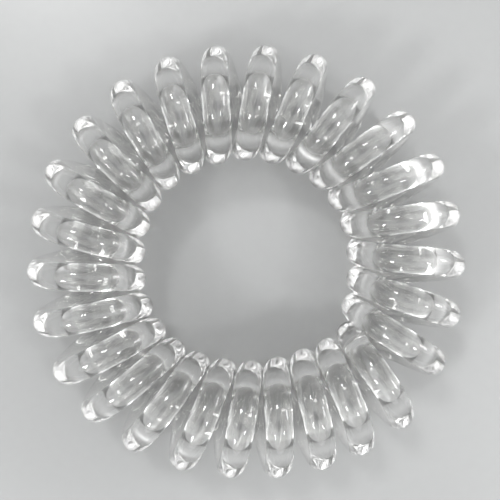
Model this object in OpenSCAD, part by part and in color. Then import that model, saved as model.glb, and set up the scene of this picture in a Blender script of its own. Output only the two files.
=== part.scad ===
// Spiral hair tie: one clear plastic cord, wound as a close coil and closed into a ring.
// The ring lies flat. +Z is its axis, z = 0 is the surface that it lies on, and the origin
// is the middle of its outline there. Bearings run anticlockwise from +X, seen from above.

/* [Cord] */
// Diameter of the cord
cord_d = 3.1; // [2:0.05:4]
// Number of flat sides that stand for the round of the cord
cord_sides = 10; // [8:1:10]

/* [Coil] */
// Number of turns in the ring
turns = 26; // [18:1:32]
// Outside diameter of one turn, which is the height of the tie as it lies
turn_od = 13.5; // [11:0.1:17]
// Clear way between two neighbouring turns at the hole, where an even coil is closest
turn_gap = 0.06; // [0.05:0.01:0.8]
// Number of sections that shape each turn
turn_sections = 20; // [12:4:20]

/* [Seam] */
// Bearing of the seam, where the two ends of the cord are welded together
seam_bearing = 323.6; // [0:0.1:360]
// Length of the weld bead along the cord
bead_len = 0.8; // [0.4:0.1:1.6]
// Height of the weld bead above the cord
bead_rise = 0.06; // [0.02:0.01:0.1]

/* [Hidden] */

// How each turn lies, one row a turn from the seam on. A row holds the inner side of the
// turn and the outer side that follows it: how far each lies ahead of an even coil, as a
// share of the pitch, and how far out it stands, as a share of the cord's diameter.
IN_AHEAD = 0;
IN_OUT = 1;
OUT_AHEAD = 2;
OUT_OUT = 3;
LIE = [
    [0.06, 0.51, 0.05, 0.14],
    [-0.05, 0.13, 0.03, 0.01],
    [-0.05, 0.02, 0.03, -0.06],
    [-0.04, -0.03, 0.04, -0.05],
    [0.01, -0.03, 0.05, -0.01],
    [0.04, -0.01, 0.09, 0.01],
    [0.07, 0.00, 0.15, 0.00],
    [0.10, -0.03, 0.22, -0.04],
    [0.13, -0.03, 0.21, -0.09],
    [0.16, -0.03, 0.21, -0.07],
    [0.19, -0.03, 0.19, -0.01],
    [0.22, 0.02, 0.20, 0.04],
    [0.24, 0.08, 0.25, 0.04],
    [0.25, 0.08, 0.29, 0.04],
    [0.26, 0.05, 0.29, -0.04],
    [0.26, 0.02, 0.30, -0.02],
    [0.26, 0.03, 0.31, 0.07],
    [0.27, 0.08, 0.34, 0.13],
    [0.26, 0.11, 0.28, 0.15],
    [0.25, 0.10, 0.27, 0.05],
    [0.24, 0.03, 0.30, -0.06],
    [0.25, -0.05, 0.27, -0.13],
    [0.26, -0.05, 0.21, -0.06],
    [0.26, -0.03, 0.10, 0.07],
    [0.24, 0.08, -0.09, 0.22],
    [0.16, 0.32, -0.17, 0.36],
];

// A turn's centreline is a circle of this radius, at this height, that drifts round the ring.
turn_r = (turn_od - cord_d) / 2;
mid_z = turn_od / 2;
pitch = 360 / turns;

// The coil is as close as the cord allows: its turns all but touch round the hole. They lean
// there, which brings them closer than their spacing round the hole, so the hole opens a little.
upright_hole_r = (cord_d + turn_gap) / (2 * sin(pitch / 2));
lean = atan(sqrt(upright_hole_r * (upright_hole_r + 2 * turn_r)) / (turns * turn_r));
inner_r = upright_hole_r / cos(lean);
ring_r = inner_r + turn_r;
drift = sqrt((ring_r + turn_r) / (ring_r - turn_r));

// The phase counts degrees of winding: 0 at the seam, each whole turn at the hole, each half
// turn at the rim. The cord goes from the hole to the rim underneath and comes back on top.
full_phase = 360 * turns;
section_step = 360 / turn_sections;
bead_half_phase = bead_len / 2 * cos(lean) / turn_r * 180 / PI;
bead_top_phase = bead_half_phase / 2;
tangent_step = 0.5;

// A column of the table at a turn, read between its rows where the turns aren't as many
function lie(column, turn) =
    let (
        rows = len(LIE),
        place = turn / turns * rows,
        row = floor(place),
        share = place - row
    )
    LIE[row % rows][column] * (1 - share) + LIE[(row + 1) % rows][column] * share;

// What the table adds at a phase, blended from the hole side to the rim side and back
function uneven(in_column, out_column, phase) =
    let (rim_share = (1 - cos(phase)) / 2)
    lie(in_column, round(phase / 360)) * (1 - rim_share)
    + lie(out_column, floor(phase / 360)) * rim_share;

// The cord moves round the ring by the same length on the hole side and on the rim side, so
// its bearing changes faster near the hole.
function even_bearing(phase) =
    let (
        turn = round(phase / 360),
        half = phase / 2 - 180 * turn
    )
    pitch * turn + 2 / turns * atan2(drift * sin(half), cos(half));

function bearing(phase) =
    seam_bearing + even_bearing(phase) + pitch * uneven(IN_AHEAD, OUT_AHEAD, phase);

function reach(phase) =
    ring_r - turn_r * cos(phase) + cord_d * uneven(IN_OUT, OUT_OUT, phase);

function unit(v) = v / norm(v);

function centreline(phase) =
    let (b = bearing(phase), r = reach(phase))
    [r * cos(b), r * sin(b), mid_z - turn_r * sin(phase)];

function along(phase) =
    unit(centreline(phase + tangent_step) - centreline(phase - tangent_step));

// From the middle of the turn out to the cord
function outward(phase) =
    let (b = bearing(phase))
    [-cos(phase) * cos(b), -cos(phase) * sin(b), -sin(phase)];

// One section of the cord, with its corners on the round surface and one corner outwards,
// swollen by a share of the weld bead
function section(phase, swell) =
    let (
        middle = centreline(phase),
        t = along(phase),
        side = unit(cross(t, outward(phase))),
        out = cross(side, t),
        r = cord_d / 2 + swell * bead_rise
    )
    [for (k = [0 : cord_sides - 1])
        let (a = 360 * k / cord_sides)
        middle + r * (cos(a) * out + sin(a) * side)];

// All sections in order, from the bead at the start of the cord to the bead at its end
sections = [
    section(bead_top_phase, 1),
    section(bead_half_phase, 0),
    for (i = [1 : turns * turn_sections - 1]) section(i * section_step, 0),
    section(full_phase - bead_half_phase, 0),
    section(full_phase - bead_top_phase, 1),
];

// Moves the ring so that the middle of its outline is at the origin
function middle_of(axis) =
    let (places = [for (s = sections) for (p = s) p[axis]])
    (min(places) + max(places)) / 2;
to_origin = [-middle_of(0), -middle_of(1), 0];

// The closed skin of a tube through the given sections, which ends where it starts
module closed_tube(rings) {
    sides = len(rings[0]);
    count = len(rings);
    skin = [
        for (i = [0 : count - 1])
            for (k = [0 : sides - 1])
                let (
                    here = i * sides,
                    next = (i + 1) % count * sides,
                    k2 = (k + 1) % sides
                )
                each [
                    [here + k, next + k, next + k2],
                    [here + k, next + k2, here + k2],
                ]
    ];
    polyhedron(points = [for (ring = rings) for (p = ring) p], faces = skin, convexity = 10);
}

module coil() {
    color([0.92, 0.94, 0.95, 0.45])
        translate(to_origin)
            closed_tube(sections);
}

coil();
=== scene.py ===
"""The looks of a clear spiral hair tie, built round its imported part.

The tie is one cord of clear soft plastic, wound as a close coil and closed into a ring. A
Geometry Nodes tree winds the cord from a short table, which says how each turn lies.
"""

import logging
import math
from dataclasses import dataclass
from enum import Enum
from typing import NamedTuple

import bpy
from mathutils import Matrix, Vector


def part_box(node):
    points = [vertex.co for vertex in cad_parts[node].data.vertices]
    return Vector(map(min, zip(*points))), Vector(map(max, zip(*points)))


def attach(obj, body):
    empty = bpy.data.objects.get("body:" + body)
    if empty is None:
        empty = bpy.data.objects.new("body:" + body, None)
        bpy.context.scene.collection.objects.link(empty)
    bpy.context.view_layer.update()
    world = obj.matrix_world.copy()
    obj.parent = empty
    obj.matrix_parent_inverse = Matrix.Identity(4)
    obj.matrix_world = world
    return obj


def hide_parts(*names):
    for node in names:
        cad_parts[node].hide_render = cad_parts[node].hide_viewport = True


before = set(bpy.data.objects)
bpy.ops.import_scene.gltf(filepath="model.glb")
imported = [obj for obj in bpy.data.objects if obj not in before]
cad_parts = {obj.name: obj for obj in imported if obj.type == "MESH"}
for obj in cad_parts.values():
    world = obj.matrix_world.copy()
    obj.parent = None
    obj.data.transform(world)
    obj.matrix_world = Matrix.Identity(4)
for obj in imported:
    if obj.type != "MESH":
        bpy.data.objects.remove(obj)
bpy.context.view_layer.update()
MM = 0.001
BODY = "root"

log = logging.getLogger("hair_tie")


class Lie(Enum):
    """The columns of TURNS_LIE, each an attribute of the turns that the cord is wound from."""

    IN_AHEAD = "in_ahead"
    IN_OUT = "in_out"
    OUT_AHEAD = "out_ahead"
    OUT_OUT = "out_out"


class Size(Enum):
    """The sizes that the winding tree takes, by the names of its inputs."""

    RING_R = "Ring Radius"
    TURN_R = "Turn Radius"
    TURN_LENGTH = "Turn Length"
    CORD_R = "Cord Radius"
    MID_HEIGHT = "Middle Height"
    DRIFT = "Drift"
    SEAM_BEARING = "Seam Bearing"
    BEAD_LEN = "Bead Length"
    BEAD_RISE = "Bead Rise"
    BEAD_SLANT = "Bead Slant"
    GROOVE_DEPTH = "Groove Depth"
    WAVE_LENGTH = "Wave Length"
    WAVE_HEIGHT = "Wave Height"


class Mark(Enum):
    """The attributes that the tree leaves on the cord's skin."""

    WOUND = "wound"
    ROUND = "round"
    AS_EXTRUDED = "as_extruded"
    WELD = "weld"


# How each turn lies, one row a turn from the seam on. A row holds the inner side of the turn
# and the outer side that follows it: how far each lies ahead of an even coil, as a share of
# the pitch, and how far out it stands, as a share of the cord's diameter. The columns are in
# the order of Lie.
TURNS_LIE: tuple[tuple[float, float, float, float], ...] = (
    (0.06, 0.51, 0.05, 0.14),
    (-0.05, 0.13, 0.03, 0.01),
    (-0.05, 0.02, 0.03, -0.06),
    (-0.04, -0.03, 0.04, -0.05),
    (0.01, -0.03, 0.05, -0.01),
    (0.04, -0.01, 0.09, 0.01),
    (0.07, 0.00, 0.15, 0.00),
    (0.10, -0.03, 0.22, -0.04),
    (0.13, -0.03, 0.21, -0.09),
    (0.16, -0.03, 0.21, -0.07),
    (0.19, -0.03, 0.19, -0.01),
    (0.22, 0.02, 0.20, 0.04),
    (0.24, 0.08, 0.25, 0.04),
    (0.25, 0.08, 0.29, 0.04),
    (0.26, 0.05, 0.29, -0.04),
    (0.26, 0.02, 0.30, -0.02),
    (0.26, 0.03, 0.31, 0.07),
    (0.27, 0.08, 0.34, 0.13),
    (0.26, 0.11, 0.28, 0.15),
    (0.25, 0.10, 0.27, 0.05),
    (0.24, 0.03, 0.30, -0.06),
    (0.25, -0.05, 0.27, -0.13),
    (0.26, -0.05, 0.21, -0.06),
    (0.26, -0.03, 0.10, 0.07),
    (0.24, 0.08, -0.09, 0.22),
    (0.16, 0.32, -0.17, 0.36),
)


def srgb(code: str) -> tuple[float, float, float, float]:
    """Turns an sRGB hex code into the linear colour that Blender works in.

    Args:
        code: the colour as six hex digits, such as "F2F4F4".

    Returns:
        Linear red, green, blue and a full alpha.
    """
    shares = [int(code[i : i + 2], 16) / 255 for i in (0, 2, 4)]
    # The curve of the sRGB standard: straight near black, and a power above that
    red, green, blue = (
        s / 12.92 if s <= 0.04045 else ((s + 0.055) / 1.055) ** 2.4 for s in shares
    )
    return red, green, blue, 1.0


def add_node(
    tree: bpy.types.NodeTree,
    kind: str,
    settings: dict[str, object] | None = None,
    feeds: dict[int | str, object] | None = None,
) -> bpy.types.Node:
    """Adds a node with its settings, values and links.

    Args:
        tree: the tree that the node goes into.
        kind: the node's type name.
        settings: the node's own properties by name.
        feeds: for an input's name or number, the output to link to it or its plain value.

    Returns:
        The new node.
    """
    node = tree.nodes.new(kind)
    for name, value in (settings or {}).items():
        setattr(node, name, value)
    for key, value in (feeds or {}).items():
        if isinstance(value, bpy.types.NodeSocket):
            tree.links.new(value, node.inputs[key])
        else:
            node.inputs[key].default_value = value
    return node


@dataclass(frozen=True)
class ClearPolyurethane:
    """Clear thermoplastic polyurethane, extruded as a round cord.

    It is colourless and glossy, so it shows as bright and dark bands of what lies round it.
    The die leaves faint lines along the cord, which fray the edges of the highlights, and
    handling leaves patches that are a little less glossy. The weld is slightly matt.
    """

    name: str = "clear_tpu_extruded"
    tint: str = "F8F8F7"
    ior: float = 1.5
    gloss: float = 0.015
    handled: float = 0.05
    weld_matt: float = 0.16
    # Die lines are some hundredths of a millimetre apart, and are drawn coarser to show
    die_line_gap: float = 0.3 * MM
    die_line_length: float = 14 * MM
    die_line_depth: float = 0.0016 * MM
    patch_size: float = 2.5 * MM
    # Heights of the patches' noise at which handling begins to show and shows in full
    patch_edge: float = 0.45
    patch_core: float = 0.7

    def make(self) -> bpy.types.Material:
        """Builds the material.

        Returns:
            The finished material.
        """
        material = bpy.data.materials.new(self.name)
        material.use_nodes = True
        tree = material.node_tree
        tree.nodes.clear()
        along_cord = add_node(
            tree, "ShaderNodeAttribute", {"attribute_name": Mark.AS_EXTRUDED.value}
        ).outputs["Vector"]
        weld = add_node(tree, "ShaderNodeAttribute", {"attribute_name": Mark.WELD.value})

        lines_at = add_node(
            tree,
            "ShaderNodeMapping",
            feeds={
                "Vector": along_cord,
                "Scale": (
                    1 / self.die_line_length,
                    1 / self.die_line_gap,
                    1 / self.die_line_gap,
                ),
            },
        ).outputs[0]
        lines = add_node(
            tree, "ShaderNodeTexNoise", feeds={"Vector": lines_at, "Scale": 1.0, "Detail": 2.0}
        ).outputs[0]
        surface = add_node(
            tree,
            "ShaderNodeBump",
            feeds={"Height": lines, "Strength": 1.0, "Distance": self.die_line_depth},
        ).outputs[0]

        patches = add_node(
            tree,
            "ShaderNodeTexNoise",
            feeds={"Vector": along_cord, "Scale": 1 / self.patch_size, "Detail": 3.0},
        ).outputs[0]
        handled = add_node(
            tree,
            "ShaderNodeMapRange",
            feeds={
                0: patches,
                1: self.patch_edge,
                2: self.patch_core,
                3: self.gloss,
                4: self.handled,
            },
        ).outputs[0]
        roughness = add_node(
            tree,
            "ShaderNodeMix",
            {"data_type": "FLOAT"},
            {0: weld.outputs["Fac"], 2: handled, 3: self.weld_matt},
        ).outputs[0]

        plastic = add_node(
            tree,
            "ShaderNodeBsdfPrincipled",
            feeds={
                "Base Color": srgb(self.tint),
                "Roughness": roughness,
                "IOR": self.ior,
                "Transmission Weight": 1.0,
                "Normal": surface,
            },
        )
        add_node(tree, "ShaderNodeOutputMaterial", feeds={"Surface": plastic.outputs[0]})
        return material


@dataclass(frozen=True)
class PaintedBoard:
    """Board with a sprayed satin paint.

    It is pale and even, and mirrors what lies on it a little. The spray leaves a faint orange
    peel, which softens the mirror image.
    """

    name: str = "satin_painted_board"
    pale: str = "949595"
    paler: str = "979898"
    satin: float = 0.3
    peel_size: float = 1.2 * MM
    peel_depth: float = 0.003 * MM

    def make(self) -> bpy.types.Material:
        """Builds the material.

        Returns:
            The finished material.
        """
        material = bpy.data.materials.new(self.name)
        material.use_nodes = True
        tree = material.node_tree
        tree.nodes.clear()
        place = add_node(tree, "ShaderNodeTexCoord").outputs["Object"]
        peel = add_node(
            tree,
            "ShaderNodeTexNoise",
            feeds={"Vector": place, "Scale": 1 / self.peel_size, "Detail": 2.0},
        ).outputs[0]
        surface = add_node(
            tree,
            "ShaderNodeBump",
            feeds={"Height": peel, "Strength": 1.0, "Distance": self.peel_depth},
        ).outputs[0]
        colour = add_node(
            tree,
            "ShaderNodeMix",
            {"data_type": "RGBA"},
            {0: peel, 6: srgb(self.pale), 7: srgb(self.paler)},
        ).outputs[2]
        paint = add_node(
            tree,
            "ShaderNodeBsdfPrincipled",
            feeds={"Base Color": colour, "Roughness": self.satin, "Normal": surface},
        )
        add_node(tree, "ShaderNodeOutputMaterial", feeds={"Surface": paint.outputs[0]})
        return material


@dataclass
class SpiralTie:
    """The hair tie: one cord wound as a close coil and closed into a ring.

    Lengths are in metres and angles in radians. turn_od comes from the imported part, so that
    the tie is as high as the part is.
    """

    turn_od: float
    cord_d: float = 3.1 * MM
    turn_gap: float = 0.06 * MM
    # The skin stands in by this much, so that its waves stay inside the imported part
    skin_inset: float = 0.015 * MM
    seam_bearing: float = math.radians(323.6)
    bead_len: float = 0.8 * MM
    bead_rise: float = 0.05 * MM
    # How far the weld runs along the cord for each length across it
    bead_slant: float = 0.25
    groove_depth: float = 0.05 * MM
    # How far each part of the weld reaches from its middle, as a share of the bead's length
    bead_top: float = 0.25
    bead_foot: float = 0.5
    groove_edge: float = 0.12
    matt_core: float = 0.3
    matt_edge: float = 0.6
    wave_length: float = 2.4 * MM
    wave_height: float = 0.004 * MM
    sections_a_turn: int = 94
    cuts_at_weld: int = 8
    sides: int = 36

    @property
    def turn_r(self) -> float:
        """Radius of a turn's centreline."""
        return (self.turn_od - self.cord_d) / 2

    @property
    def upright_hole_r(self) -> float:
        """Radius to the cord's centreline at the hole, if the turns stood upright there."""
        return (self.cord_d + self.turn_gap) / (2 * math.sin(math.pi / len(TURNS_LIE)))

    @property
    def lean(self) -> float:
        """Angle by which the turns lean over at the hole."""
        upright = self.upright_hole_r
        rise = math.sqrt(upright * (upright + 2 * self.turn_r))
        return math.atan(rise / (len(TURNS_LIE) * self.turn_r))

    @property
    def ring_r(self) -> float:
        """Radius of the ring through the middles of the turns."""
        return self.upright_hole_r / math.cos(self.lean) + self.turn_r

    @property
    def drift(self) -> float:
        """How many times as fast as on average the cord's bearing changes at the hole."""
        return math.sqrt((self.ring_r + self.turn_r) / (self.ring_r - self.turn_r))

    @property
    def turn_length(self) -> float:
        """Length of cord in one turn."""
        return math.tau * self.turn_r / math.cos(self.lean)

    def sizes(self) -> dict[Size, float]:
        """Gives each of the winding tree's sizes its value."""
        return {
            Size.RING_R: self.ring_r,
            Size.TURN_R: self.turn_r,
            Size.TURN_LENGTH: self.turn_length,
            Size.CORD_R: self.cord_d / 2 - self.skin_inset,
            Size.MID_HEIGHT: self.turn_od / 2,
            Size.DRIFT: self.drift,
            Size.SEAM_BEARING: self.seam_bearing,
            Size.BEAD_LEN: self.bead_len,
            Size.BEAD_RISE: self.bead_rise,
            Size.BEAD_SLANT: self.bead_slant,
            Size.GROOVE_DEPTH: self.groove_depth,
            Size.WAVE_LENGTH: self.wave_length,
            Size.WAVE_HEIGHT: self.wave_height,
        }

    def turns_mesh(self) -> bpy.types.Mesh:
        """Makes the mesh that the cord is wound from.

        Returns:
            A mesh with one vertex a turn, which carries the turn's row of TURNS_LIE.
        """
        mesh = bpy.data.meshes.new("turns")
        mesh.from_pydata([(0, 0, 0)] * len(TURNS_LIE), [], [])
        for place, column in enumerate(Lie):
            attribute = mesh.attributes.new(column.value, "FLOAT", "POINT")
            attribute.data.foreach_set("value", [row[place] for row in TURNS_LIE])
        return mesh

    def winding_tree(self) -> bpy.types.GeometryNodeTree:
        """Builds the tree that winds the cord and gives it its skin.

        Returns:
            The tree, whose inputs are the sizes of the cord and of the coil.
        """
        tree = bpy.data.node_groups.new("wind_cord", "GeometryNodeTree")
        face = tree.interface
        face.new_socket("Turns", in_out="INPUT", socket_type="NodeSocketGeometry")
        for size in Size:
            face.new_socket(size.value, in_out="INPUT", socket_type="NodeSocketFloat")
        for name in ("Sections a Turn", "Sides"):
            face.new_socket(name, in_out="INPUT", socket_type="NodeSocketInt")
        face.new_socket("Plastic", in_out="INPUT", socket_type="NodeSocketMaterial")
        face.new_socket("Cord", in_out="OUTPUT", socket_type="NodeSocketGeometry")
        given = add_node(tree, "NodeGroupInput").outputs

        count = add_node(
            tree, "GeometryNodeAttributeDomainSize", feeds={"Geometry": given["Turns"]}
        ).outputs["Point Count"]
        loop = self.counted_loop(tree, given, count)
        wound = add_node(
            tree, "GeometryNodeInputNamedAttribute", feeds={"Name": Mark.WOUND.value}
        ).outputs[0]
        place = self.centreline(tree, given, count, wound)
        route = add_node(
            tree, "GeometryNodeSetPosition", feeds={"Geometry": loop, "Position": place}
        ).outputs[0]
        skin = self.skin(tree, given, route)
        marked = self.marked(tree, given, skin, wound)
        finished = self.finished(tree, given, marked)
        add_node(tree, "NodeGroupOutput", feeds={0: finished})
        return tree

    def counted_loop(
        self,
        tree: bpy.types.GeometryNodeTree,
        given: bpy.types.NodeOutputs,
        count: bpy.types.NodeSocket,
    ) -> bpy.types.NodeSocket:
        """Makes a loop with the right number of points, which know how far the cord is wound.

        The winding is counted in turns, from the far side of the ring on, so that the seam is
        at 0 in the middle of the loop. The points lie closer at the weld.

        Args:
            tree: the winding tree.
            given: the tree's inputs.
            count: the number of turns.

        Returns:
            The loop.
        """
        sections = add_node(
            tree,
            "ShaderNodeMath",
            {"operation": "MULTIPLY"},
            {0: count, 1: given["Sections a Turn"]},
        ).outputs[0]
        loop = add_node(
            tree, "GeometryNodeCurvePrimitiveCircle", feeds={"Resolution": sections}
        ).outputs["Curve"]
        index = add_node(tree, "GeometryNodeInputIndex").outputs[0]
        passed = add_node(
            tree,
            "ShaderNodeMath",
            {"operation": "DIVIDE"},
            {0: index, 1: given["Sections a Turn"]},
        ).outputs[0]
        half_count = add_node(
            tree, "ShaderNodeMath", {"operation": "MULTIPLY"}, {0: count, 1: 0.5}
        ).outputs[0]
        from_seam = add_node(
            tree, "ShaderNodeMath", {"operation": "SUBTRACT"}, {0: passed, 1: half_count}
        ).outputs[0]
        counted = add_node(
            tree,
            "GeometryNodeStoreNamedAttribute",
            {"data_type": "FLOAT", "domain": "POINT"},
            {"Geometry": loop, "Name": Mark.WOUND.value, "Value": from_seam},
        ).outputs[0]

        wound = add_node(
            tree, "GeometryNodeInputNamedAttribute", feeds={"Name": Mark.WOUND.value}
        ).outputs[0]
        either_way = add_node(
            tree, "ShaderNodeMath", {"operation": "ABSOLUTE"}, {0: wound}
        ).outputs[0]
        length = add_node(
            tree,
            "ShaderNodeMath",
            {"operation": "MULTIPLY"},
            {0: either_way, 1: given[Size.TURN_LENGTH.value]},
        ).outputs[0]
        at_weld = add_node(
            tree,
            "ShaderNodeMath",
            {"operation": "LESS_THAN"},
            {0: length, 1: given[Size.BEAD_LEN.value]},
        ).outputs[0]
        extra_cuts = add_node(
            tree,
            "ShaderNodeMath",
            {"operation": "MULTIPLY"},
            {0: at_weld, 1: self.cuts_at_weld},
        ).outputs[0]
        return add_node(
            tree, "GeometryNodeSubdivideCurve", feeds={"Curve": counted, "Cuts": extra_cuts}
        ).outputs[0]

    def centreline(
        self,
        tree: bpy.types.GeometryNodeTree,
        given: bpy.types.NodeOutputs,
        count: bpy.types.NodeSocket,
        wound: bpy.types.NodeSocket,
    ) -> bpy.types.NodeSocket:
        """Works out where the cord's centreline is, from how far it is wound.

        A turn is a circle that drifts round the ring. Each whole turn is at the hole and each
        half turn at the rim, and the cord goes out to the rim underneath. It moves round the
        ring by the same length on both sides, so its bearing changes faster near the hole.

        Args:
            tree: the winding tree.
            given: the tree's inputs.
            count: the number of turns.
            wound: the winding in turns, from the seam.

        Returns:
            The place of the centreline.
        """
        phase = add_node(
            tree, "ShaderNodeMath", {"operation": "MULTIPLY"}, {0: wound, 1: math.tau}
        ).outputs[0]
        sine = add_node(tree, "ShaderNodeMath", {"operation": "SINE"}, {0: phase}).outputs[0]
        cosine = add_node(tree, "ShaderNodeMath", {"operation": "COSINE"}, {0: phase}).outputs[0]
        nearest = add_node(tree, "ShaderNodeMath", {"operation": "ROUND"}, {0: wound}).outputs[0]
        begun = add_node(tree, "ShaderNodeMath", {"operation": "FLOOR"}, {0: wound}).outputs[0]

        # What the turn's row adds, blended from the hole side to the rim side and back
        rim_share = add_node(
            tree, "ShaderNodeMath", {"operation": "MULTIPLY_ADD"}, {0: cosine, 1: -0.5, 2: 0.5}
        ).outputs[0]
        read = {}
        for column in Lie:
            at_hole = column in (Lie.IN_AHEAD, Lie.IN_OUT)
            row = add_node(
                tree,
                "ShaderNodeMath",
                {"operation": "WRAP"},
                {0: nearest if at_hole else begun, 1: count, 2: 0.0},
            ).outputs[0]
            value = add_node(
                tree, "GeometryNodeInputNamedAttribute", feeds={"Name": column.value}
            ).outputs[0]
            read[column] = add_node(
                tree,
                "GeometryNodeSampleIndex",
                {"data_type": "FLOAT", "domain": "POINT"},
                {"Geometry": given["Turns"], "Value": value, "Index": row},
            ).outputs[0]
        ahead = add_node(
            tree,
            "ShaderNodeMix",
            {"data_type": "FLOAT"},
            {0: rim_share, 2: read[Lie.IN_AHEAD], 3: read[Lie.OUT_AHEAD]},
        ).outputs[0]
        out = add_node(
            tree,
            "ShaderNodeMix",
            {"data_type": "FLOAT"},
            {0: rim_share, 2: read[Lie.IN_OUT], 3: read[Lie.OUT_OUT]},
        ).outputs[0]

        # Bearing: the turns that the cord has passed round the ring, each a pitch wide
        since = add_node(
            tree, "ShaderNodeMath", {"operation": "SUBTRACT"}, {0: wound, 1: nearest}
        ).outputs[0]
        half = add_node(
            tree, "ShaderNodeMath", {"operation": "MULTIPLY"}, {0: since, 1: math.pi}
        ).outputs[0]
        half_sine = add_node(tree, "ShaderNodeMath", {"operation": "SINE"}, {0: half}).outputs[0]
        half_cosine = add_node(
            tree, "ShaderNodeMath", {"operation": "COSINE"}, {0: half}
        ).outputs[0]
        hurried = add_node(
            tree,
            "ShaderNodeMath",
            {"operation": "MULTIPLY"},
            {0: half_sine, 1: given[Size.DRIFT.value]},
        ).outputs[0]
        swung = add_node(
            tree, "ShaderNodeMath", {"operation": "ARCTAN2"}, {0: hurried, 1: half_cosine}
        ).outputs[0]
        even = add_node(
            tree,
            "ShaderNodeMath",
            {"operation": "MULTIPLY_ADD"},
            {0: swung, 1: 1 / math.pi, 2: nearest},
        ).outputs[0]
        uneven = add_node(
            tree, "ShaderNodeMath", {"operation": "ADD"}, {0: even, 1: ahead}
        ).outputs[0]
        pitch = add_node(
            tree, "ShaderNodeMath", {"operation": "DIVIDE"}, {0: math.tau, 1: count}
        ).outputs[0]
        bearing = add_node(
            tree,
            "ShaderNodeMath",
            {"operation": "MULTIPLY_ADD"},
            {0: uneven, 1: pitch, 2: given[Size.SEAM_BEARING.value]},
        ).outputs[0]

        # Reach from the ring's axis, and height
        inward = add_node(
            tree,
            "ShaderNodeMath",
            {"operation": "MULTIPLY"},
            {0: given[Size.TURN_R.value], 1: cosine},
        ).outputs[0]
        even_reach = add_node(
            tree,
            "ShaderNodeMath",
            {"operation": "SUBTRACT"},
            {0: given[Size.RING_R.value], 1: inward},
        ).outputs[0]
        cord_d = add_node(
            tree,
            "ShaderNodeMath",
            {"operation": "MULTIPLY"},
            {0: given[Size.CORD_R.value], 1: 2.0},
        ).outputs[0]
        reach = add_node(
            tree,
            "ShaderNodeMath",
            {"operation": "MULTIPLY_ADD"},
            {0: out, 1: cord_d, 2: even_reach},
        ).outputs[0]
        down = add_node(
            tree,
            "ShaderNodeMath",
            {"operation": "MULTIPLY"},
            {0: given[Size.TURN_R.value], 1: sine},
        ).outputs[0]
        height = add_node(
            tree,
            "ShaderNodeMath",
            {"operation": "SUBTRACT"},
            {0: given[Size.MID_HEIGHT.value], 1: down},
        ).outputs[0]
        east = add_node(tree, "ShaderNodeMath", {"operation": "COSINE"}, {0: bearing}).outputs[0]
        north = add_node(tree, "ShaderNodeMath", {"operation": "SINE"}, {0: bearing}).outputs[0]
        x = add_node(
            tree, "ShaderNodeMath", {"operation": "MULTIPLY"}, {0: reach, 1: east}
        ).outputs[0]
        y = add_node(
            tree, "ShaderNodeMath", {"operation": "MULTIPLY"}, {0: reach, 1: north}
        ).outputs[0]
        return add_node(
            tree, "ShaderNodeCombineXYZ", feeds={"X": x, "Y": y, "Z": height}
        ).outputs[0]

    def skin(
        self,
        tree: bpy.types.GeometryNodeTree,
        given: bpy.types.NodeOutputs,
        route: bpy.types.NodeSocket,
    ) -> bpy.types.NodeSocket:
        """Gives the route a round skin, whose points know their place on the die's circle.

        Args:
            tree: the winding tree.
            given: the tree's inputs.
            route: the centreline as a curve.

        Returns:
            The plain skin.
        """
        die = add_node(
            tree,
            "GeometryNodeCurvePrimitiveCircle",
            feeds={"Resolution": given["Sides"], "Radius": given[Size.CORD_R.value]},
        ).outputs["Curve"]
        on_die = add_node(tree, "GeometryNodeInputPosition").outputs[0]
        marked_die = add_node(
            tree,
            "GeometryNodeStoreNamedAttribute",
            {"data_type": "FLOAT_VECTOR", "domain": "POINT"},
            {"Geometry": die, "Name": Mark.ROUND.value, "Value": on_die},
        ).outputs[0]
        return add_node(
            tree,
            "GeometryNodeCurveToMesh",
            feeds={"Curve": route, "Profile Curve": marked_die},
        ).outputs[0]

    def marked(
        self,
        tree: bpy.types.GeometryNodeTree,
        given: bpy.types.NodeOutputs,
        skin: bpy.types.NodeSocket,
        wound: bpy.types.NodeSocket,
    ) -> bpy.types.NodeSocket:
        """Marks each point of the skin with its place on the cord and how far the weld is.

        Args:
            tree: the winding tree.
            given: the tree's inputs.
            skin: the plain skin.
            wound: the winding in turns, from the seam.

        Returns:
            The marked skin.
        """
        on_die = add_node(
            tree,
            "GeometryNodeInputNamedAttribute",
            {"data_type": "FLOAT_VECTOR"},
            {"Name": Mark.ROUND.value},
        ).outputs[0]
        across = add_node(tree, "ShaderNodeSeparateXYZ", feeds={0: on_die}).outputs
        length = add_node(
            tree,
            "ShaderNodeMath",
            {"operation": "MULTIPLY"},
            {0: wound, 1: given[Size.TURN_LENGTH.value]},
        ).outputs[0]
        either_way = add_node(
            tree, "ShaderNodeMath", {"operation": "ABSOLUTE"}, {0: length}
        ).outputs[0]
        as_extruded = add_node(
            tree,
            "ShaderNodeCombineXYZ",
            feeds={"X": either_way, "Y": across["X"], "Z": across["Y"]},
        ).outputs[0]
        lengthwise = add_node(
            tree,
            "GeometryNodeStoreNamedAttribute",
            {"data_type": "FLOAT_VECTOR", "domain": "POINT"},
            {"Geometry": skin, "Name": Mark.AS_EXTRUDED.value, "Value": as_extruded},
        ).outputs[0]

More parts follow.
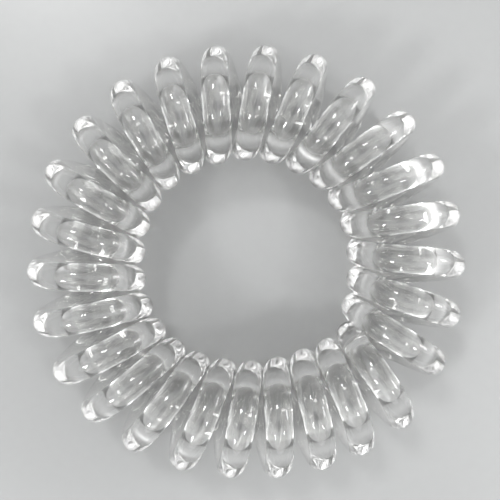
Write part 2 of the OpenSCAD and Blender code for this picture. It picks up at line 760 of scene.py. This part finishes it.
        # The ends met at a slight slant, which the bead follows. The weld's mark gives each
        # point's distance from the weld, in lengths of the bead.
        slanted = add_node(
            tree,
            "ShaderNodeMath",
            {"operation": "MULTIPLY_ADD"},
            {0: across["X"], 1: given[Size.BEAD_SLANT.value], 2: length},
        ).outputs[0]
        from_weld = add_node(
            tree, "ShaderNodeMath", {"operation": "ABSOLUTE"}, {0: slanted}
        ).outputs[0]
        share = add_node(
            tree,
            "ShaderNodeMath",
            {"operation": "DIVIDE"},
            {0: from_weld, 1: given[Size.BEAD_LEN.value]},
        ).outputs[0]
        return add_node(
            tree,
            "GeometryNodeStoreNamedAttribute",
            {"data_type": "FLOAT", "domain": "POINT"},
            {"Geometry": lengthwise, "Name": Mark.WELD.value, "Value": share},
        ).outputs[0]

    def finished(
        self,
        tree: bpy.types.GeometryNodeTree,
        given: bpy.types.NodeOutputs,
        marked: bpy.types.NodeSocket,
    ) -> bpy.types.NodeSocket:
        """Raises the weld bead, waves the skin as the extruder did, and dresses it.

        Args:
            tree: the winding tree.
            given: the tree's inputs.
            marked: the marked skin.

        Returns:
            The finished cord.
        """
        share = add_node(
            tree, "GeometryNodeInputNamedAttribute", feeds={"Name": Mark.WELD.value}
        ).outputs[0]
        bead = add_node(
            tree,
            "ShaderNodeMapRange",
            {"interpolation_type": "SMOOTHSTEP"},
            {
                0: share,
                1: self.bead_top,
                2: self.bead_foot,
                3: given[Size.BEAD_RISE.value],
                4: 0.0,
            },
        ).outputs[0]
        groove = add_node(
            tree,
            "ShaderNodeMapRange",
            feeds={
                0: share,
                1: 0.0,
                2: self.groove_edge,
                3: given[Size.GROOVE_DEPTH.value],
                4: 0.0,
            },
        ).outputs[0]
        weld_rise = add_node(
            tree, "ShaderNodeMath", {"operation": "SUBTRACT"}, {0: bead, 1: groove}
        ).outputs[0]

        as_extruded = add_node(
            tree,
            "GeometryNodeInputNamedAttribute",
            {"data_type": "FLOAT_VECTOR"},
            {"Name": Mark.AS_EXTRUDED.value},
        ).outputs[0]
        waves_a_length = add_node(
            tree,
            "ShaderNodeMath",
            {"operation": "DIVIDE"},
            {0: 1.0, 1: given[Size.WAVE_LENGTH.value]},
        ).outputs[0]
        waves = add_node(
            tree,
            "ShaderNodeTexNoise",
            feeds={"Vector": as_extruded, "Scale": waves_a_length, "Detail": 1.0},
        ).outputs[0]
        up_or_down = add_node(
            tree, "ShaderNodeMath", {"operation": "MULTIPLY_ADD"}, {0: waves, 1: 2.0, 2: -1.0}
        ).outputs[0]
        rise = add_node(
            tree,
            "ShaderNodeMath",
            {"operation": "MULTIPLY_ADD"},
            {0: up_or_down, 1: given[Size.WAVE_HEIGHT.value], 2: weld_rise},
        ).outputs[0]
        outwards = add_node(tree, "GeometryNodeInputNormal").outputs[0]
        offset = add_node(
            tree,
            "ShaderNodeVectorMath",
            {"operation": "SCALE"},
            {0: outwards, "Scale": rise},
        ).outputs[0]
        waved = add_node(
            tree, "GeometryNodeSetPosition", feeds={"Geometry": marked, "Offset": offset}
        ).outputs[0]

        # From here on the weld's mark says how matt the skin is
        matt = add_node(
            tree,
            "ShaderNodeMapRange",
            {"interpolation_type": "SMOOTHSTEP"},
            {0: share, 1: self.matt_core, 2: self.matt_edge, 3: 1.0, 4: 0.0},
        ).outputs[0]
        weld_marked = add_node(
            tree,
            "GeometryNodeStoreNamedAttribute",
            {"data_type": "FLOAT", "domain": "POINT"},
            {"Geometry": waved, "Name": Mark.WELD.value, "Value": matt},
        ).outputs[0]
        smooth = add_node(
            tree, "GeometryNodeSetShadeSmooth", feeds={"Geometry": weld_marked}
        ).outputs[0]
        whole = add_node(
            tree, "GeometryNodeRealizeInstances", feeds={"Geometry": smooth}
        ).outputs[0]
        return add_node(
            tree,
            "GeometryNodeSetMaterial",
            feeds={"Geometry": whole, "Material": given["Plastic"]},
        ).outputs[0]

    def build(self) -> bpy.types.Object:
        """Winds the cord as a plain mesh, in its finish.

        Returns:
            The cord, in its place.
        """
        tree = self.winding_tree()
        turns = bpy.data.objects.new("turns", self.turns_mesh())
        bpy.context.scene.collection.objects.link(turns)
        winding = turns.modifiers.new("winding", "NODES")
        winding.node_group = tree
        values: dict[str, object] = {size.value: v for size, v in self.sizes().items()}
        values["Sections a Turn"] = self.sections_a_turn
        values["Sides"] = self.sides
        values["Plastic"] = ClearPolyurethane().make()
        for socket in tree.interface.items_tree:
            if socket.in_out == "INPUT" and socket.name in values:
                winding[socket.identifier] = values[socket.name]
        depsgraph = bpy.context.evaluated_depsgraph_get()
        mesh = bpy.data.meshes.new_from_object(turns.evaluated_get(depsgraph))
        bpy.data.objects.remove(turns)
        cord = bpy.data.objects.new("coiled_cord", mesh)
        bpy.context.scene.collection.objects.link(cord)
        self.centre(mesh)
        return cord

    @staticmethod
    def centre(mesh: bpy.types.Mesh) -> None:
        """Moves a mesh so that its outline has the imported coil's middle.

        Args:
            mesh: the cord's mesh.
        """
        low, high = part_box("coil")
        middle = (low + high) / 2
        xs = [v.co.x for v in mesh.vertices]
        ys = [v.co.y for v in mesh.vertices]
        shift = Vector(
            (middle.x - (min(xs) + max(xs)) / 2, middle.y - (min(ys) + max(ys)) / 2, 0)
        )
        for vertex in mesh.vertices:
            vertex.co += shift


@dataclass
class Floor:
    """The plain pale floor that the tie lies on. Lengths are in metres."""

    half_side: float = 2.0

    def build(self) -> bpy.types.Object:
        """Makes the floor at height 0.

        Returns:
            The floor.
        """
        s = self.half_side
        mesh = bpy.data.meshes.new("floor")
        mesh.from_pydata([(-s, -s, 0), (s, -s, 0), (s, s, 0), (-s, s, 0)], [], [(0, 1, 2, 3)])
        mesh.materials.append(PaintedBoard().make())
        floor = bpy.data.objects.new("floor", mesh)
        bpy.context.scene.collection.objects.link(floor)
        return floor


class Glow(NamedTuple):
    """How bright the studio is at an elevation, where a white page is 1."""

    elevation: float
    brightness: float


class Shade(Enum):
    """The outline of a lamp, by Blender's name for it."""

    ROUND = "DISK"
    SQUARE = "SQUARE"


class Lamp(NamedTuple):
    """A soft light, which faces the tie. Its brightness is in the same measure as a glow's."""

    name: str
    bearing: float
    elevation: float
    width: float
    brightness: float
    shade: Shade = Shade.ROUND

    @property
    def area(self) -> float:
        """Area of the lamp's outline."""
        square = self.width**2
        return square if self.shade is Shade.SQUARE else square * math.pi / 4


class LitWall(NamedTuple):
    """A wall that a window lights. It is bright out to its core, and has faded at its reach."""

    bearing: float
    elevation: float
    core: float
    reach: float
    brightness: float


@dataclass
class Studio:
    """A soft ring of light high up, round a dark patch, with a window and a few lamps.

    Angles are in degrees, and lengths in metres. The glows' elevations count towards the dark
    patch, which isn't quite overhead. The walls below the ring stay dim, so that clear plastic
    shows grey outlines on a pale floor, apart from the wall that the window lights. Along the
    horizon they are about as pale as the floor, which hides its far edge. The surroundings
    are a little uneven, as real walls and ceilings are.
    """

    glows: tuple[Glow, ...] = (
        Glow(0, 0.2),
        Glow(8, 0.15),
        Glow(16, 0.2),
        Glow(36, 0.25),
        Glow(44, 1.8),
        Glow(72, 1.9),
        Glow(78, 0.3),
        Glow(90, 0.1),
    )
    lamps: tuple[Lamp, ...] = (
        Lamp("window", 9, 22, 0.15, 10, Shade.SQUARE),
        Lamp("near_lamp", 219, 44, 0.1, 45),
        Lamp("far_lamp", 120, 58, 0.1, 38),
        Lamp("side_lamp", 330, 52, 0.08, 38),
    )
    lamps_away: float = 0.6
    dark_bearing: float = 255
    dark_elevation: float = 79
    lit_wall: LitWall = LitWall(bearing=9, elevation=24, core=8, reach=32, brightness=3.0)
    # The glow along the horizon fades out at this elevation
    horizon: Glow = Glow(7, 0.2)
    patch_scale: float = 3.0
    # Heights of the patches' noise at which the surroundings are dimmest and brightest
    dim_below: float = 0.4
    bright_above: float = 0.6
    dimmest: float = 0.9
    brightest: float = 1.1
    bounces_in_plastic: int = 48

    @staticmethod
    def towards(bearing: float, elevation: float) -> Vector:
        """Gives the direction of a bearing and an elevation.

        Args:
            bearing: degrees anticlockwise from +X.
            elevation: degrees above the horizon.

        Returns:
            A unit vector.
        """
        b = math.radians(bearing)
        e = math.radians(elevation)
        return Vector((math.cos(b) * math.cos(e), math.sin(b) * math.cos(e), math.sin(e)))

    def surroundings(self) -> bpy.types.World:
        """Builds the soft surroundings.

        Returns:
            The world.
        """
        world = bpy.data.worlds.new("studio")
        world.use_nodes = True
        tree = world.node_tree
        tree.nodes.clear()
        direction = add_node(tree, "ShaderNodeTexCoord").outputs["Generated"]
        height = add_node(
            tree,
            "ShaderNodeVectorMath",
            {"operation": "DOT_PRODUCT"},
            {0: direction, 1: self.towards(self.dark_bearing, self.dark_elevation)},
        ).outputs["Value"]
        ramp = add_node(tree, "ShaderNodeValToRGB", feeds={0: height})
        top = max(glow.brightness for glow in self.glows)
        stops = ramp.color_ramp.elements
        while len(stops) < len(self.glows):
            stops.new(1.0)
        for stop, glow in zip(stops, self.glows):
            stop.position = math.sin(math.radians(glow.elevation))
            share = glow.brightness / top
            stop.color = (share, share, share, 1.0)
        patches = add_node(
            tree,
            "ShaderNodeTexNoise",
            feeds={"Vector": direction, "Scale": self.patch_scale, "Detail": 3.0},
        ).outputs[0]
        strength = add_node(
            tree,
            "ShaderNodeMapRange",
            feeds={
                0: patches,
                1: self.dim_below,
                2: self.bright_above,
                3: top * self.dimmest,
                4: top * self.brightest,
            },
        ).outputs[0]
        all_round = add_node(
            tree, "ShaderNodeBackground", feeds={"Color": ramp.outputs[0], "Strength": strength}
        ).outputs[0]

        # The lit wall and the horizon are added, each fading out from its middle
        wall = self.lit_wall
        near_wall = add_node(
            tree,
            "ShaderNodeVectorMath",
            {"operation": "DOT_PRODUCT"},
            {0: direction, 1: self.towards(wall.bearing, wall.elevation)},
        ).outputs["Value"]
        upwards = add_node(tree, "ShaderNodeSeparateXYZ", feeds={0: direction}).outputs["Z"]
        wall_edge = math.cos(math.radians(wall.reach))
        wall_core = math.cos(math.radians(wall.core))
        horizon_edge = math.sin(math.radians(self.horizon.elevation))
        for where, faded, full, brightness in (
            (near_wall, wall_edge, wall_core, wall.brightness),
            (upwards, horizon_edge, 0.0, self.horizon.brightness),
        ):
            fading = add_node(
                tree,
                "ShaderNodeMapRange",
                {"interpolation_type": "SMOOTHSTEP"},
                {0: where, 1: faded, 2: full, 3: 0.0, 4: brightness},
            ).outputs[0]
            added = add_node(tree, "ShaderNodeBackground", feeds={"Strength": fading}).outputs[0]
            all_round = add_node(
                tree, "ShaderNodeAddShader", feeds={0: all_round, 1: added}
            ).outputs[0]
        add_node(tree, "ShaderNodeOutputWorld", feeds={"Surface": all_round})
        return world

    def hang(self, lamp: Lamp) -> bpy.types.Object:
        """Hangs a lamp, which the camera doesn't see itself.

        Args:
            lamp: what it is and where it hangs.

        Returns:
            The light.
        """
        light_data = bpy.data.lights.new(lamp.name, "AREA")
        light_data.shape = lamp.shade.value
        light_data.size = lamp.width
        light_data.energy = lamp.brightness * math.pi * lamp.area
        light = bpy.data.objects.new(lamp.name, light_data)
        bpy.context.scene.collection.objects.link(light)
        towards = self.towards(lamp.bearing, lamp.elevation)
        light.location = towards * self.lamps_away
        light.rotation_euler = towards.to_track_quat("Z", "Y").to_euler()
        light.visible_camera = False
        return light

    def build(self) -> None:
        """Lights the scene, and lets light bounce as often as it does inside clear plastic."""
        scene = bpy.context.scene
        scene.world = self.surroundings()
        for lamp in self.lamps:
            self.hang(lamp)
        scene.cycles.max_bounces = self.bounces_in_plastic
        scene.cycles.transmission_bounces = self.bounces_in_plastic
        scene.cycles.glossy_bounces = self.bounces_in_plastic
        # Tones as they are, without the curve of a film
        scene.view_settings.view_transform = "Standard"


@dataclass
class PhotoView:
    """The camera at the photograph's place, looking straight down.

    Pixels are counted in the photograph's frame, from its top left corner, and px_a_mm is
    their number in a millimetre at the height of the ring's middle. foot is the point below
    the lens. Lengths are in metres.
    """

    mid_height: float
    lens_up: float = 89 * MM
    foot: tuple[float, float] = (-0.85 * MM, 3.5 * MM)
    frame_px: float = 500
    ring_at_px: tuple[float, float] = (246.0, 261.0)
    px_a_mm: float = 8.67
    nearest: float = 5 * MM

    def build(self) -> bpy.types.Object:
        """Places the camera, and shifts its frame so that the ring lies where the photo has it.

        Returns:
            The camera.
        """
        px = MM / self.px_a_mm
        view_width = self.frame_px * px
        ring_x = (self.frame_px / 2 - self.ring_at_px[0]) * px
        ring_y = (self.ring_at_px[1] - self.frame_px / 2) * px
        camera_data = bpy.data.cameras.new("camera")
        camera_data.lens = camera_data.sensor_width * self.lens_up / view_width
        camera_data.shift_x = (ring_x - self.foot[0]) / view_width
        camera_data.shift_y = (ring_y - self.foot[1]) / view_width
        camera_data.clip_start = self.nearest
        camera = bpy.data.objects.new("camera", camera_data)
        camera.location = (*self.foot, self.mid_height + self.lens_up)
        bpy.context.scene.collection.objects.link(camera)
        bpy.context.scene.camera = camera
        return camera


def main() -> None:
    """Builds the tie, the floor, the lights and the camera, in that order."""
    logging.basicConfig(level=logging.INFO, format="%(message)s")
    low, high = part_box("coil")

    tie = SpiralTie(turn_od=high.z - low.z).build()
    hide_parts("coil")
    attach(tie, BODY)
    log.info("%s: %d faces on %s", tie.name, len(tie.data.polygons), BODY)

    floor = Floor().build()
    log.info("%s: stage", floor.name)

    Studio().build()
    camera = PhotoView(mid_height=(low.z + high.z) / 2).build()
    log.info("%s: %.0f mm lens", camera.name, camera.data.lens)


if __name__ == "__main__":
    main()
